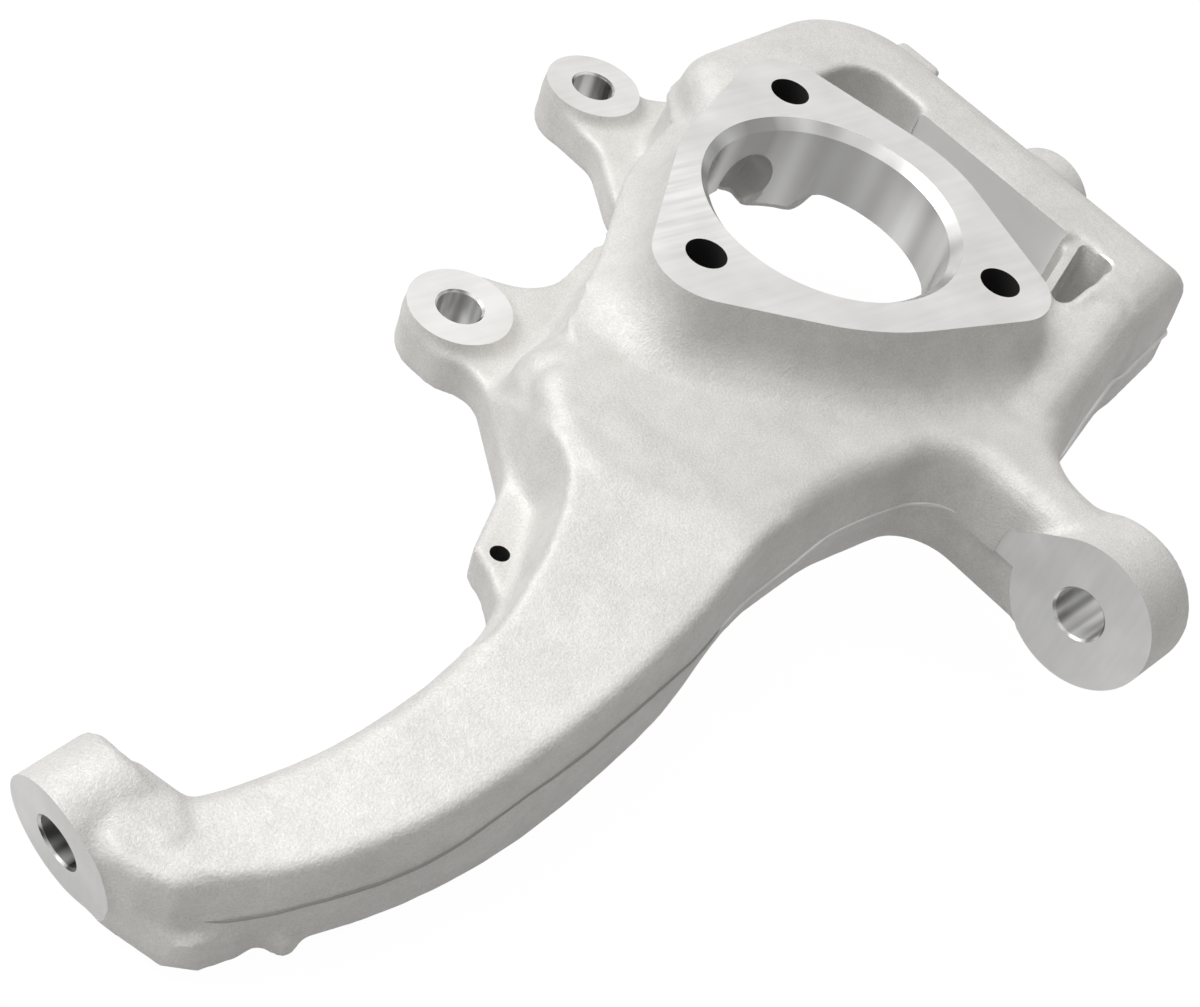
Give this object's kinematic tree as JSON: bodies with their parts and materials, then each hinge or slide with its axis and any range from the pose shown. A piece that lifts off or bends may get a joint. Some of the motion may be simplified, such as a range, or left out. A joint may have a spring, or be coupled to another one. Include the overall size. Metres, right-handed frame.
{
  "type": "steering knuckle",
  "caption": "One-piece cast aluminium steering knuckle: flared hub flange, swan-neck arm to the upper ball joint, caliper ears and a tie rod boss.",
  "frame": {"origin": "hub axis at the machined hub flange face", "axes": "+Z along the hub axis, out towards the wheel; +X along the arm towards the upper ball joint; +Y towards the tie rod boss"},
  "size_m": [0.4628, 0.3254, 0.1077],
  "materials": {
    "cast_aluminium": "as-cast satin grain, with machined faces and bores"
  },
  "bodies": {
    "root": {"knuckle_casting": "cast_aluminium"}
  },
  "joints": []
}
